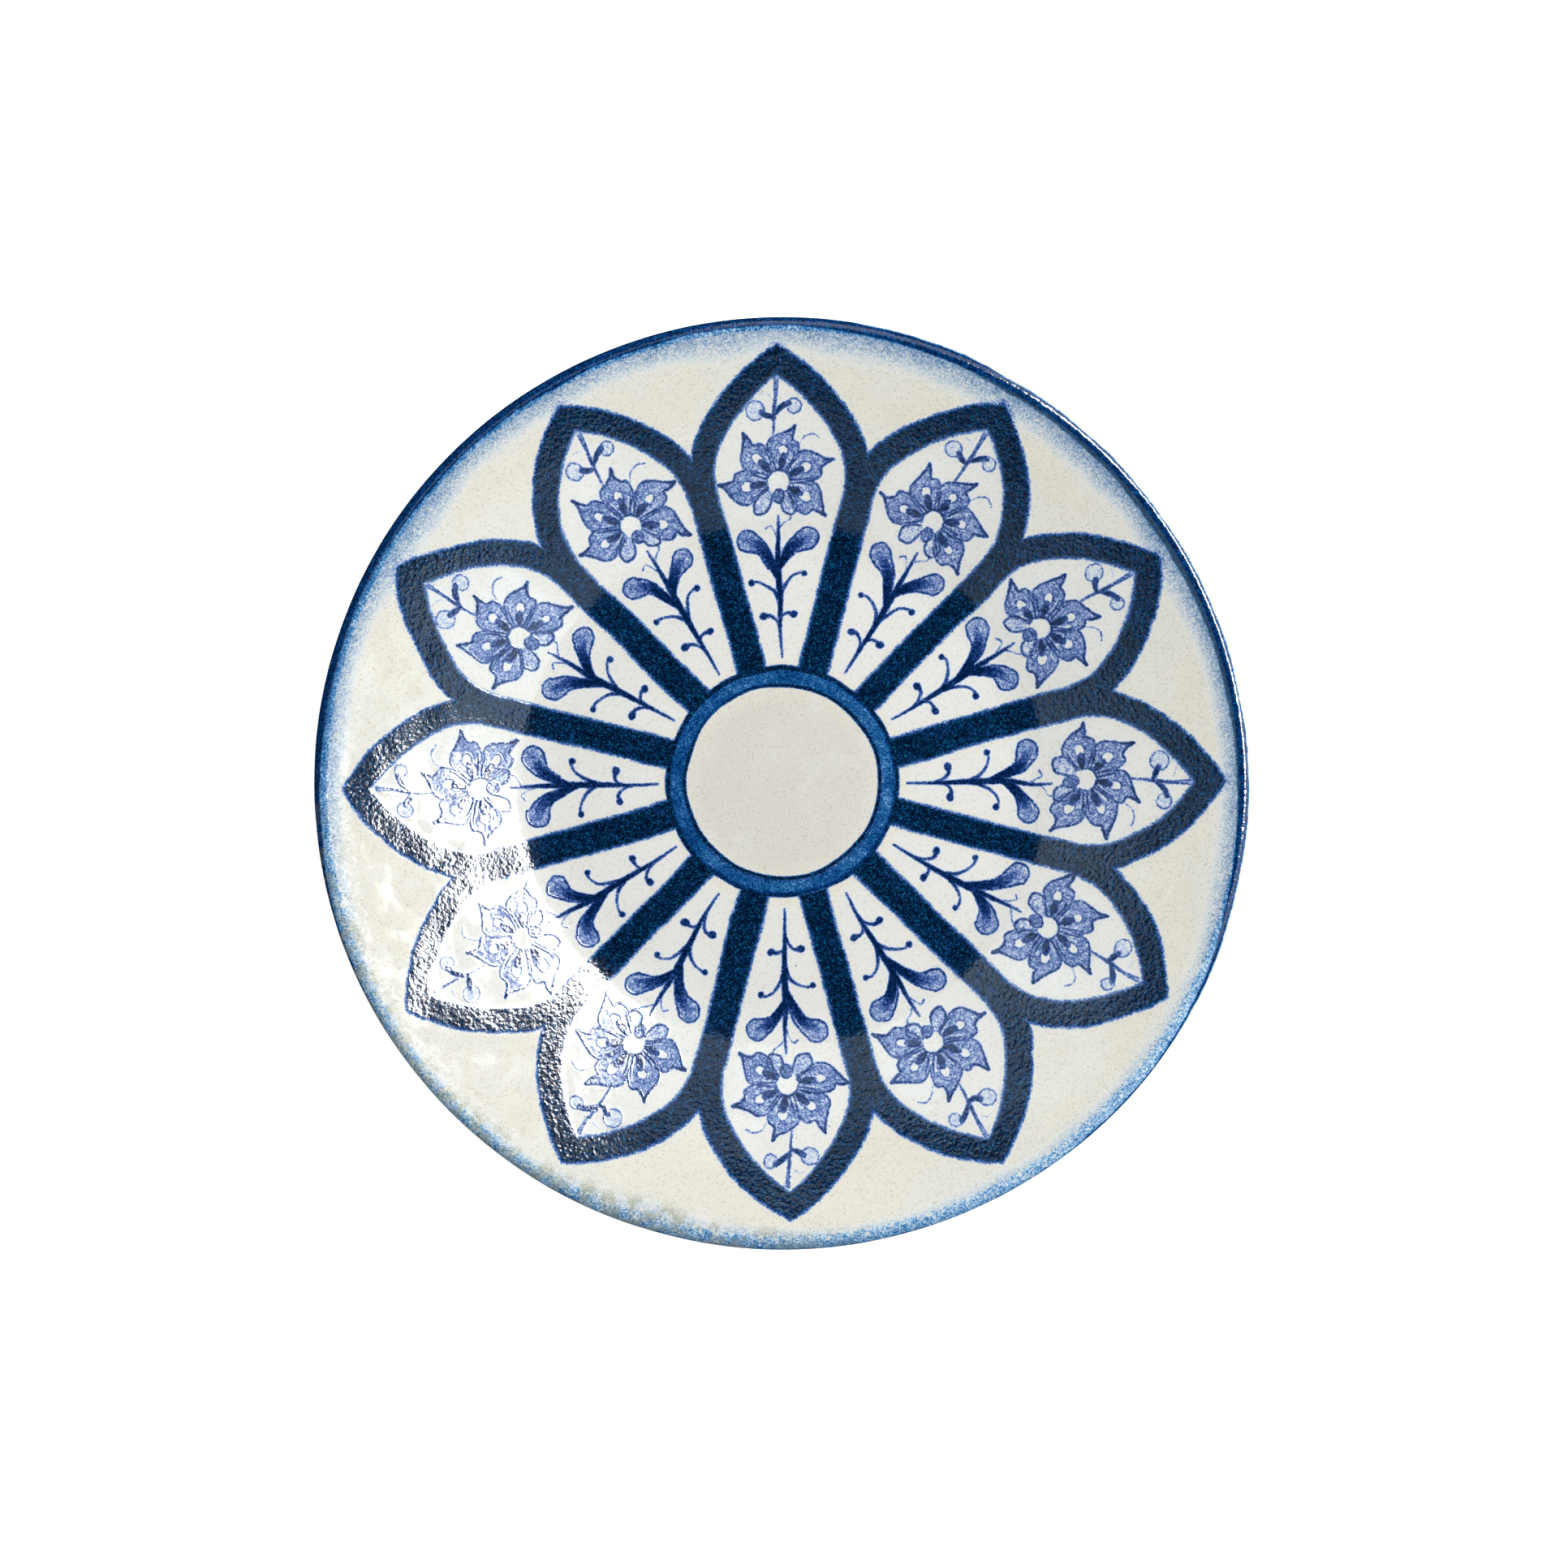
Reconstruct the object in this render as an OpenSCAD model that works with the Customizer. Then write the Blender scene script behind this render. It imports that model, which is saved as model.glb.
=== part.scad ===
// Hand painted ceramic plate: a thrown clay dish with a turned foot ring, glazed all over except
// under the foot, and painted with a ring, twelve pointed petals and a flower sprig in each petal.
// Origin: centre of the face that the foot ring stands on. +Z is up, +Y runs along petal 01.

/* [Plate] */
// Overall diameter, over the painted lip
plate_d = 250; // [205:1:310]
// Overall height, from the table to the top of the lip
plate_h = 28; // [22:0.5:38]
// Thickness of the glazed wall
wall_t = 5.5; // [4:0.1:7]
// Diameter of the level well, to where the rim would meet it without a bend
well_d = 132; // [100:1:150]
// Radius of the bend between the well and the rim, at mid wall
bend_r = 45; // [20:1:60]

/* [Foot ring] */
// Outer diameter of the foot ring
foot_d = 116; // [60:1:118]
// Width of the foot ring where it leaves the body
foot_w = 7; // [4:0.5:12]
// Height of the foot ring under the glazed back
foot_h = 5; // [3:0.5:8]
// Bevel on the edges that the ring stands on
foot_bevel = 1; // [0.4:0.1:1.6]

/* [Glaze and paint] */
// Thickness of the glaze
glaze_t = 0.35; // [0.2:0.05:0.6]
// Thickness of a painted stroke
paint_t = 0.15; // [0.08:0.01:0.3]
// Thickness of the sprayed wash inside the lip
wash_t = 0.08; // [0.05:0.01:0.15]

/* [Centre ring] */
// Outer diameter of the painted centre ring
ring_d = 64; // [50:1:76]
// Width of the centre ring
ring_w = 6.8; // [5:0.1:9]
// Width of the dark line along each edge of the ring
ring_line_w = 1.1; // [0.6:0.1:1.6]

/* [Petals] */
// Gap between the edge of the plate and the inside of a petal's tip
tip_gap = 15.6; // [12:0.1:20]
// Width of the bar between two petals
bar_w = 8.2; // [6:0.1:9.9]
// Width of the painted band around the pointed end of a petal
band_w = 7; // [5.6:0.1:8]
// Length of the pointed end, from the widest place to the inside of the tip
arch_len = 26.5; // [23:0.5:30]
// Radius of the shoulder at the widest place
shoulder_r = 19.5; // [14:0.5:24]
// Angle that the shoulder turns through before the flatter curve to the tip
shoulder_turn = 24; // [18:1:28]

/* [Flower sprigs] */
// Width of a stem
stem_w = 0.9; // [0.6:0.05:1.2]
// Width of the thin branch that carries a bud
branch_w = 0.7; // [0.5:0.05:1]
// Radius of the round end of a large leaf
leaf_r = 2.5; // [2:0.1:2.8]
// Radius of a small bud
bud_r = 0.9; // [0.7:0.05:1.1]
// Gap between the points of a blossom and the nearest edge of its petal
blossom_gap = 1.7; // [1:0.1:5]
// Radius of the unpainted eye in the middle of a blossom
eye_r = 2.6; // [2:0.1:3]

/* [Hidden] */
petal_count = 12;
petal_step = 360 / petal_count;
half_step = petal_step / 2;
arc_steps = 8;
full_fn = 96;
// Two pieces of paint that don't touch keep this far apart
clear = 0.4;
// An upright cutter reaches this far past the thin skin that it cuts
spare = 1;

function two_digits(i) = str(i < 10 ? "0" : "", i);
function numbered(name) = [for (i = [1 : petal_count]) str(name, "_", two_digits(i))];

// ---- Section of the plate: one line at mid wall, with everything else at a distance from it ----
half_t = wall_t / 2;
clay_half_t = half_t - glaze_t;
plate_r = plate_d / 2;
well_r = well_d / 2;
foot_r = foot_d / 2;
back_z = foot_h;
mid_z = back_z + half_t;
lip_x = plate_r - half_t - paint_t;
lip_z = plate_h - half_t - paint_t;
rim_slope = atan2(lip_z - mid_z, lip_x - well_r);
bend_x = well_r - bend_r * tan(rim_slope / 2);

// Points along an arc, both ends included
function arc(centre, r, from, to, steps = arc_steps) =
    [for (i = [0 : steps]) let (a = from + (to - from) * i / steps) centre + r * [cos(a), sin(a)]];

function reversed(points) = [for (i = [len(points) - 1 : -1 : 0]) points[i]];

// The line at a height t above mid wall, from the bend to the end of the straight rim
function bend_line(t) = arc([bend_x, mid_z + bend_r], bend_r - t, -90, rim_slope - 90);
function rim_end(t) = [lip_x, lip_z] + t * [-sin(rim_slope), cos(rim_slope)];
function wall_line(t) = concat([[0, mid_z + t]], bend_line(t), [rim_end(t)]);

// Part of the round lip at a distance t from its centre, counted from the rim's own direction.
// Every layer turns round the lip in the same even steps, so that each lies flush on the next.
lip_step = 90 / arc_steps;
function lip_line(t, from, to) =
    arc([lip_x, lip_z], t, rim_slope + from, rim_slope + to, round(abs(to - from) / lip_step));

// ---- Clay ----
module clay_section() {
    polygon(concat(
        wall_line(clay_half_t),
        lip_line(clay_half_t, 90, -90),
        reversed(wall_line(-clay_half_t))));
}

module clay_body() {
    color("peru")
    rotate_extrude($fn = full_fn)
    clay_section();
}

// The ring reaches up to the underside of the body, whatever its slope there
module foot_ring() {
    foot_in = foot_r - foot_w;
    color("tan")
    rotate_extrude($fn = full_fn)
    difference() {
        polygon([
            [foot_in, mid_z],
            [foot_in, foot_bevel],
            [foot_in + foot_bevel, 0],
            [foot_r - foot_bevel, 0],
            [foot_r, foot_bevel],
            [foot_r, mid_z]]);
        clay_section();
    }
}

// ---- Glaze ----
module face_glaze() {
    color("ivory")
    rotate_extrude($fn = full_fn)
    polygon(concat(
        wall_line(half_t), lip_line(half_t, 90, 0),
        lip_line(clay_half_t, 0, 90), reversed(wall_line(clay_half_t))));
}

// The whole skin of the underside, from the middle to the outermost edge of the lip
module back_section() {
    polygon(concat(
        wall_line(-half_t), lip_line(half_t, -90, 0),
        lip_line(clay_half_t, 0, -90), reversed(wall_line(-clay_half_t))));
}

// Everything nearer to the axis than r
module inside_section(r) {
    square([r, plate_h]);
}

module back_glaze() {
    color("linen")
    rotate_extrude($fn = full_fn)
    difference() {
        back_section();
        inside_section(foot_r);
    }
}

// The round area inside the foot ring
module base_glaze() {
    color("linen")
    rotate_extrude($fn = full_fn)
    intersection() {
        back_section();
        inside_section(foot_r - foot_w);
    }
}

// ---- Paint in rings ----
// A skin of the given thickness all over the glazed face
module face_skin(thick) {
    rotate_extrude($fn = full_fn)
    polygon(concat(wall_line(half_t + thick), reversed(wall_line(half_t))));
}

// Height of the cutters, which reach through the whole face
cut_h = plate_h + 2 * spare;

module tube(inner_r, outer_r) {
    translate([0, 0, -spare])
    difference() {
        cylinder(h = cut_h, r = outer_r, $fn = full_fn);
        translate([0, 0, -spare])
        cylinder(h = cut_h + 2 * spare, r = inner_r, $fn = full_fn);
    }
}

module painted_ring(inner_r, outer_r, thick = paint_t) {
    intersection() {
        face_skin(thick);
        tube(inner_r, outer_r);
    }
}

ring_outer_r = ring_d / 2;
ring_inner_r = ring_outer_r - ring_w;

module centre_ring() {
    color("steelblue")
    painted_ring(ring_inner_r + ring_line_w, ring_outer_r - ring_line_w);
}

module ring_inner_line() {
    color("navy")
    painted_ring(ring_inner_r, ring_inner_r + ring_line_w);
}

module ring_outer_line() {
    color("navy")
    painted_ring(ring_outer_r - ring_line_w, ring_outer_r);
}

// The dark band wraps the round lip, from the end of the face to just past the outer edge
lip_wrap = 2 * lip_step;
module lip_band() {
    color("midnightblue")
    rotate_extrude($fn = full_fn)
    polygon(concat(
        lip_line(half_t + paint_t, 90, -lip_wrap), lip_line(half_t, -lip_wrap, 90)));
}

module rim_wash() {
    color("lightsteelblue")
    painted_ring(band_tip + clear, rim_end(half_t)[0] - clear, wash_t);
}

// ---- Petals ----
// Each petal is drawn along +Y. Its sides run parallel to the edges of its share of the circle,
// half a bar inside them, then a shoulder arc and a flatter arc carry each side to the tip.
field_tip = plate_r - tip_gap;
wide_y = field_tip - arch_len;
shoulder_x = (wide_y * sin(half_step) - bar_w / 2 - shoulder_r) / cos(half_step);
shoulder_c = [shoulder_x, wide_y];
field_half_w = shoulder_x + shoulder_r;

// The tip arc starts along the shoulder's last direction and ends on the petal's middle line
turn_point = shoulder_c + shoulder_r * [cos(shoulder_turn), sin(shoulder_turn)];
chord = [turn_point[0], field_tip - turn_point[1]];
chord_turn = atan2(chord[0], chord[1]) - shoulder_turn;
tip_arc_r = norm(chord) / (2 * sin(chord_turn));
tip_arc_c = turn_point - tip_arc_r * [cos(shoulder_turn), sin(shoulder_turn)];

// The angle at which the tip arc, drawn at a distance outside the field, meets the middle line
function tip_turn(out) = acos(-tip_arc_c[0] / (tip_arc_r + out));
band_tip = tip_arc_c[1] + (tip_arc_r + band_w) * sin(tip_turn(band_w));

// Right-hand side of the petal at a distance outside the field, from the shoulder to the tip
function petal_side(out) = concat(
    arc(shoulder_c, shoulder_r + out, -half_step, shoulder_turn),
    arc(tip_arc_c, tip_arc_r + out, shoulder_turn, tip_turn(out)));

function mirrored(points) = [for (p = points) [-p[0], p[1]]];

// Where the side of the field, run inwards, meets the middle line
field_root = bar_w / 2 / sin(half_step);

module petal_area(out) {
    side = petal_side(out);
    root = [0, field_root - out / sin(half_step)];
    polygon(concat([root], side, reversed(mirrored(side))));
}

// The share of the circle that belongs to one petal
module petal_share() {
    reach = plate_r / cos(half_step);
    polygon([[0, 0], reach * [sin(half_step), cos(half_step)], reach * [-sin(half_step), cos(half_step)]]);
}

module petal_band() {
    difference() {
        intersection() {
            petal_area(band_w);
            petal_share();
        }
        petal_area(0);
        circle(r = ring_outer_r, $fn = full_fn);
    }
}

// Lays a flat drawing on the face, turned to the place of petal i
module painted(i) {
    intersection() {
        face_skin(paint_t);
        rotate([0, 0, -petal_step * (i - 1)])
        translate([0, 0, -spare])
        linear_extrude(height = cut_h)
        children();
    }
}

module petal_outline(i) {
    color("darkblue")
    painted(i)
    petal_band();
}

// ---- Flower sprigs ----
// A place in a petal: share of the half width, and share of the way from the ring to the tip
field_len = field_tip - ring_outer_r;
function place(u, v) = [u * field_half_w, ring_outer_r + v * field_len];

// A brush stroke from a to c, drawn towards b, whose width follows a rule of its own
function curve_at(a, b, c, t) = pow(1 - t, 2) * a + 2 * t * (1 - t) * b + t * t * c;
function curve_way(a, b, c, t) = let (d = (1 - t) * (b - a) + t * (c - b)) d / norm(d);
function side_step(way, w) = [way[1], -way[0]] * w / 2;

module stroke(a, b, c, w_from, w_to, steps = arc_steps) {
    function w(t) = w_from + (w_to - w_from) * t * t;
    right = [for (i = [0 : steps]) let (t = i / steps)
        curve_at(a, b, c, t) + side_step(curve_way(a, b, c, t), w(t))];
    left = [for (i = [0 : steps]) let (t = i / steps)
        curve_at(a, b, c, t) - side_step(curve_way(a, b, c, t), w(t))];
    polygon(concat(right, reversed(left)));
}

// A branch leaves the stem, swings out and ends in a round blob
module budded(from, bend, to, w, blob_r) {
    stroke(from, bend, to, w, w);
    translate(to)
    circle(r = blob_r, $fn = full_fn);
}

// A large leaf widens from the stem to its round end
module leaf(from, bend, to) {
    stroke(from, bend, to, branch_w, 1.8 * leaf_r);
    translate(to)
    circle(r = leaf_r, $fn = full_fn);
}

// A blossom fills the room around its middle, up to the nearest place on the edge of the field
blossom_c = place(0, 0.63);
blossom_room = min(concat(
    [blossom_c[1] * sin(half_step) - bar_w / 2],
    [for (p = petal_side(0)) norm(p - blossom_c)]));
blossom_r = blossom_room - blossom_gap;
stem_foot = place(0, 0.035);
stem_head = [0, blossom_c[1] - blossom_r * 0.8 - clear];
tip_stem_foot = [0, blossom_c[1] + blossom_r + clear];
tip_stem_head = place(0, 0.95);

module lower_sprig() {
    stroke(stem_foot, (stem_foot + stem_head) / 2, stem_head, stem_w, stem_w, 1);
    budded(place(0, 0.09), place(0.04, 0.14), place(0.23, 0.17), branch_w, bud_r);
    budded(place(0, 0.07), place(-0.04, 0.12), place(-0.25, 0.15), branch_w, bud_r);
    budded(place(0, 0.20), place(0.10, 0.28), place(0.38, 0.31), branch_w, bud_r);
    budded(place(0, 0.17), place(-0.10, 0.25), place(-0.42, 0.28), branch_w, bud_r);
    leaf(place(0, 0.34), place(0.40, 0.37), place(0.44, 0.44));
    leaf(place(0, 0.29), place(-0.44, 0.34), place(-0.50, 0.435));
}

module tip_sprig() {
    stroke(tip_stem_foot, (tip_stem_foot + tip_stem_head) / 2, tip_stem_head, stem_w, stem_w, 1);
    budded(place(0, 0.865), place(-0.12, 0.86), place(-0.24, 0.885), branch_w, 2 * bud_r);
    budded(place(0, 0.875), place(0.12, 0.87), place(0.17, 0.895), branch_w, 1.4 * bud_r);
}

module sprig(i) {
    color("royalblue")
    painted(i) {
        lower_sprig();
        tip_sprig();
    }
}

// A blossom has seven petals: five pointed and, on the side of the stem, two round and shorter
blossom_petals = 7;
pointed_petals = 5;
first_turn = 93;

module pointed_petal() {
    root = [0, eye_r * 0.8];
    tip = [0, blossom_r];
    belly = [blossom_r * 0.42, blossom_r * 0.55];
    left = [for (i = [0 : arc_steps]) curve_at(root, [-belly[0], belly[1]], tip, i / arc_steps)];
    right = [for (i = [0 : arc_steps]) curve_at(root, belly, tip, i / arc_steps)];
    difference() {
        polygon(concat(left, reversed(right)));
        translate([0, blossom_r * 0.55])
        circle(r = branch_w, $fn = full_fn);
    }
}

module round_petal() {
    lobe_r = blossom_r * 0.17;
    translate([0, blossom_r * 0.8 - lobe_r])
    circle(r = lobe_r, $fn = full_fn);
    stroke([0, eye_r * 0.8], [0, eye_r * 1.4], [0, blossom_r * 0.8 - lobe_r], branch_w, 1.6 * lobe_r);
}

// The pistil is a round spot at the edge of the eye, towards the stem
pistil_r = 1.5;

module blossom_drawing() {
    difference() {
        for (i = [0 : blossom_petals - 1])
            rotate(first_turn - i * 360 / blossom_petals)
            if (i < pointed_petals) pointed_petal();
            else round_petal();
        circle(r = eye_r, $fn = full_fn);
    }
    translate([0, -eye_r - pistil_r / 2])
    circle(r = pistil_r, $fn = full_fn);
}

// A loose curl floats beside the last pointed petal of a blossom
module curl() {
    stroke(place(0.36, 0.76), place(0.44, 0.80), place(0.62, 0.78), branch_w, branch_w);
}

module blossom(i) {
    color("slateblue")
    painted(i) {
        translate(blossom_c)
        blossom_drawing();
        curl();
    }
}

clay_body();
foot_ring();
face_glaze();
back_glaze();
base_glaze();
lip_band();
rim_wash();
centre_ring();
ring_inner_line();
ring_outer_line();
for (i = [1 : petal_count]) {
    petal_outline(i);
    sprig(i);
    blossom(i);
}
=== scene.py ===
"""Looks of the hand painted ceramic plate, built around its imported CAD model.

The plate is thrown clay under a cream glaze, with cobalt painted and sprayed on it. Every layer is
its own mesh: the glaze follows the section of the CAD plate with the slight waves of a poured glaze,
and each piece of paint lies on it as a thin closed skin that is thick where the brush left most ink.
How much ink there is at a point comes from the drawing functions, and is kept on the mesh as the
attribute "ink", which the materials turn into colour. Painting is measured in millimetres here.
"""
import math

import bpy
import numpy as np
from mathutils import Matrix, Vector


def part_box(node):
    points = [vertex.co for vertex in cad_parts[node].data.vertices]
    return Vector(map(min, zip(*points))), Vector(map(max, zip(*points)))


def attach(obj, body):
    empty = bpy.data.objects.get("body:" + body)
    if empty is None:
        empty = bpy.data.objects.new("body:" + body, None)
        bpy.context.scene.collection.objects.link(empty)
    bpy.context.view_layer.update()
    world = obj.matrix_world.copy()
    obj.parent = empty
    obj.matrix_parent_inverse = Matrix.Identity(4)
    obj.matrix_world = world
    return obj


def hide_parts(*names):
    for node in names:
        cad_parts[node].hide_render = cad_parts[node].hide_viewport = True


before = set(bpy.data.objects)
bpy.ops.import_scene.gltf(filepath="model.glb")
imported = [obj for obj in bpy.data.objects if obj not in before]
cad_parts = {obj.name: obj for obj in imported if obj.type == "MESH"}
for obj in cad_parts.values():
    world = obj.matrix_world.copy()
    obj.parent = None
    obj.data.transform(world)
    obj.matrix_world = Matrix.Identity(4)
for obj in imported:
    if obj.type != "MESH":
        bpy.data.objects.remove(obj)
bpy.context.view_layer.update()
MM = 0.001
PETALS = 12
STEP = 360 / PETALS

# ---------------- sizes, from the frame


def node_box(name):
    """Lowest and highest corner of a CAD node in millimetres."""
    low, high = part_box(name)
    return np.array(low) / MM, np.array(high) / MM


PLATE_R, _, PLATE_H = node_box("lip_band")[1]
FLOOR_Z = node_box("centre_ring")[0][2]
BACK_Z = node_box("base_glaze")[0][2]
FOOT_R = node_box("foot_ring")[1][0]
FOOT_IN = node_box("base_glaze")[1][0]
RING_OUT = node_box("ring_outer_line")[1][0]
RING_LINE_OUT = node_box("centre_ring")[1][0]
RING_LINE_IN = node_box("ring_inner_line")[1][0]
TIP_R = node_box("petal_outline_01")[1][1]

# Sizes that a box doesn't show, as in the CAD source
WELL_R = 66.0
BEND_R = 45.0
GLAZE_T = 0.35
PAINT_T = 0.15
BAR_W = 8.2
BAND_W = 7.0
ARCH_LEN = 26.5
SHOULDER_R = 19.5
SHOULDER_TURN = math.radians(24)
TIP_GAP = 15.6

HALF_T = (FLOOR_Z - BACK_Z) / 2
MID_Z = BACK_Z + HALF_T
LIP_X = PLATE_R - HALF_T - PAINT_T
LIP_Z = PLATE_H - HALF_T - PAINT_T
SLOPE = math.atan2(LIP_Z - MID_Z, LIP_X - WELL_R)
BEND_X = WELL_R - BEND_R * math.tan(SLOPE / 2)
RIM_LEN = math.hypot(LIP_X - WELL_R, LIP_Z - MID_Z) - BEND_R * math.tan(SLOPE / 2)

# ---------------- noise


def lattice(ix, iy, seed):
    """A repeatable random number from -1 to 1 at each whole-numbered place."""
    n = (ix.astype(np.int64) * 374761393 + iy.astype(np.int64) * 668265263 + seed * 974634777)
    n = (n ^ (n >> 13)) * 1274126177 & 0x7FFFFFFF
    n = (n ^ (n >> 16)) & 0xFFFF
    return n / 32767.5 - 1


def noise(x, y, size, seed):
    """Smooth noise from -1 to 1 whose bumps are about size across."""
    x, y = x / size, y / size
    ix, iy = np.floor(x), np.floor(y)
    fx, fy = x - ix, y - iy
    ux = fx * fx * fx * (fx * (fx * 6 - 15) + 10)
    uy = fy * fy * fy * (fy * (fy * 6 - 15) + 10)
    low = lattice(ix, iy, seed) * (1 - ux) + lattice(ix + 1, iy, seed) * ux
    high = lattice(ix, iy + 1, seed) * (1 - ux) + lattice(ix + 1, iy + 1, seed) * ux
    return low * (1 - uy) + high * uy


def ease(t):
    """From 0 to 1, smoothly, as t goes from 0 to 1."""
    t = np.clip(t, 0, 1)
    return t * t * (3 - 2 * t)


# ---------------- the plate's section


def lengths(t):
    """Where the bend, the rim, the lip and the underside begin along the line t, and its end."""
    return np.cumsum([BEND_X, (BEND_R - t) * SLOPE, RIM_LEN, math.pi * t, RIM_LEN,
                      (BEND_R + t) * SLOPE, BEND_X])


def section(s, t):
    """Radius, height and outward direction at the distance s along the line t above mid wall.

    The line runs from the middle of the face out to the lip, round it, and back under the plate
    to the middle. t is counted outwards from mid wall all the way, so the same t gives one skin.
    """
    s = np.asarray(s, float)
    ends = lengths(t)
    face_r, back_r = BEND_R - t, BEND_R + t
    turn_in = (s - ends[0]) / face_r
    lip_turn = math.pi / 2 + SLOPE - (s - ends[2]) / t
    turn_back = SLOPE - (s - ends[4]) / back_r
    on_rim, on_back = s - ends[1], ends[4] - s
    sin, cos = math.sin(SLOPE), math.cos(SLOPE)
    bend_z = MID_Z + BEND_R
    where = [s < end for end in ends[:6]]
    r = np.select(where, [
        s,
        BEND_X + face_r * np.sin(turn_in),
        BEND_X + face_r * sin + on_rim * cos,
        LIP_X + t * np.cos(lip_turn),
        BEND_X + back_r * sin + on_back * cos,
        BEND_X + back_r * np.sin(turn_back),
    ], np.maximum(BEND_X - (s - ends[5]), 0))
    z = np.select(where, [
        MID_Z + t + 0 * s,
        bend_z - face_r * np.cos(turn_in),
        bend_z - face_r * cos + on_rim * sin,
        LIP_Z + t * np.sin(lip_turn),
        bend_z - back_r * cos + on_back * sin,
        bend_z - back_r * np.cos(turn_back),
    ], MID_Z - t)
    way = np.select(where, [
        math.pi / 2 + 0 * s,
        math.pi / 2 + turn_in,
        math.pi / 2 + SLOPE + 0 * s,
        lip_turn,
        SLOPE - math.pi / 2 + 0 * s,
        turn_back - math.pi / 2,
    ], -math.pi / 2)
    return r, z, way


FACE_END = lengths(HALF_T)[2]
LIP_EDGE = FACE_END + HALF_T * math.pi / 2
LINE_END = lengths(HALF_T)[-1]


def length_at(radius):
    """Distance along the glazed face at which it is this far from the axis."""
    samples = np.linspace(0, FACE_END, 2000)
    return np.interp(radius, section(samples, HALF_T)[0], samples)


def across(azimuth, r):
    """Places seen from above, at a clockwise azimuth from +Y and a distance from the axis."""
    return r * np.sin(azimuth), r * np.cos(azimuth)


def waves(x, y):
    """The unevenness of the poured glaze and of the clay under it, in millimetres."""
    rippled = ease((np.hypot(x + 85, y + 20) - 70) / -30)
    return (0.11 * noise(x, y, 46, 1) + (0.05 + 0.03 * rippled) * noise(x, y, 15, 2)
            + (0.008 + 0.022 * rippled) * noise(x, y, 6, 3) + (0.002 + 0.010 * rippled) * noise(x, y, 3.1, 4))


def throwing(s):
    """Faint rings that the potter's fingers leave on the underside."""
    return 0.06 * np.sin(s / 1.35) + 0.05 * np.sin(s / 3.1 + 1)


def on_plate(azimuth, s, out, t=HALF_T):
    """Points of the plate, in metres, at a clockwise azimuth from +Y, a distance along the section
    and a height out of its surface. A thrown plate is a little out of round and out of level."""
    r, z, way = section(s, t)
    under = ease((s - LIP_EDGE) / 3)
    x, y = across(azimuth, r)
    out = out + (1 - under) * waves(x, y) + under * (throwing(s) + 0.5 * waves(x, y))
    r = r + out * np.cos(way)
    z = z + out * np.sin(way)
    round_off = 1 + 0.0030 * np.cos(2 * azimuth - math.pi) + 0.0004 * np.cos(3 * azimuth + 1)
    x, y = across(azimuth, r * round_off)
    z = z - 0.16 * np.cos(2 * azimuth) * ease((r - WELL_R) / (PLATE_R - WELL_R)) ** 2
    return np.stack([x, y, z], -1) * MM


# ---------------- the drawing: ring, petals, rim

# How far each petal was painted round from its place, clockwise from the top, in degrees
PETAL_TURNS = (-0.8, 0.1, -1.0, -0.2, -1.1, 0.0, -0.9, 0.1, -1.0, -0.7, -0.9, -0.5)
RING_SHIFT = (-0.2, 0.5)

FIELD_TIP = PLATE_R - TIP_GAP
HALF_STEP = math.radians(STEP / 2)
SHOULDER_Y = FIELD_TIP - ARCH_LEN
SHOULDER_X = (SHOULDER_Y * math.sin(HALF_STEP) - BAR_W / 2 - SHOULDER_R) / math.cos(HALF_STEP)
TURN_X = SHOULDER_X + SHOULDER_R * math.cos(SHOULDER_TURN)
TURN_Y = SHOULDER_Y + SHOULDER_R * math.sin(SHOULDER_TURN)
CHORD = math.hypot(TURN_X, FIELD_TIP - TURN_Y)
CHORD_TURN = math.atan2(TURN_X, FIELD_TIP - TURN_Y) - SHOULDER_TURN
TIP_ARC_R = CHORD / (2 * math.sin(CHORD_TURN))
TIP_ARC_X = TURN_X - TIP_ARC_R * math.cos(SHOULDER_TURN)
TIP_ARC_Y = TURN_Y - TIP_ARC_R * math.sin(SHOULDER_TURN)


def field_gap(x, y):
    """How far a place in a petal is outside its unpainted field; negative inside it."""
    x = np.abs(x)
    flank = x * math.cos(HALF_STEP) - y * math.sin(HALF_STEP) + BAR_W / 2
    shoulder = np.hypot(x - SHOULDER_X, y - SHOULDER_Y) - SHOULDER_R
    tip = np.hypot(x - TIP_ARC_X, y - TIP_ARC_Y) - TIP_ARC_R
    turn = np.arctan2(y - SHOULDER_Y, x - SHOULDER_X)
    return np.where(turn < -HALF_STEP, flank, np.where(turn < SHOULDER_TURN, shoulder, tip))


def around(azimuth, values):
    """A value at an azimuth, from values at even steps clockwise from the top."""
    places = np.arange(len(values)) * 360 / len(values)
    return np.interp(np.degrees(azimuth), places, values, period=360)


def petal_angle(azimuth):
    """The angle in radians from the middle of the painted petal that is at this azimuth."""
    meant = np.degrees(azimuth - np.radians(around(azimuth, PETAL_TURNS)))
    return np.radians((meant + STEP / 2) % STEP - STEP / 2)


def band_ink(azimuth, r):
    """Ink of the bars and pointed bands between and around the petals."""
    x, y = across(azimuth, r)
    local = petal_angle(azimuth)
    px = r * np.sin(local) + 0.35 * noise(x, y, 13, 11)
    py = r * np.cos(local) + 0.35 * noise(x, y, 13, 12)
    gap = field_gap(px, py) + 0.13 * noise(x, y, 2.6, 13) + 0.07 * noise(x, y, 0.9, 16)
    width = BAND_W + 0.3 * noise(x, y, 17, 14) + 0.13 * noise(x, y, 2.4, 15) + 0.07 * noise(x, y, 0.9, 17)
    depth = np.minimum(gap, width - gap)
    return ease(0.5 + (depth - 0.12) / 2.0)


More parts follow.
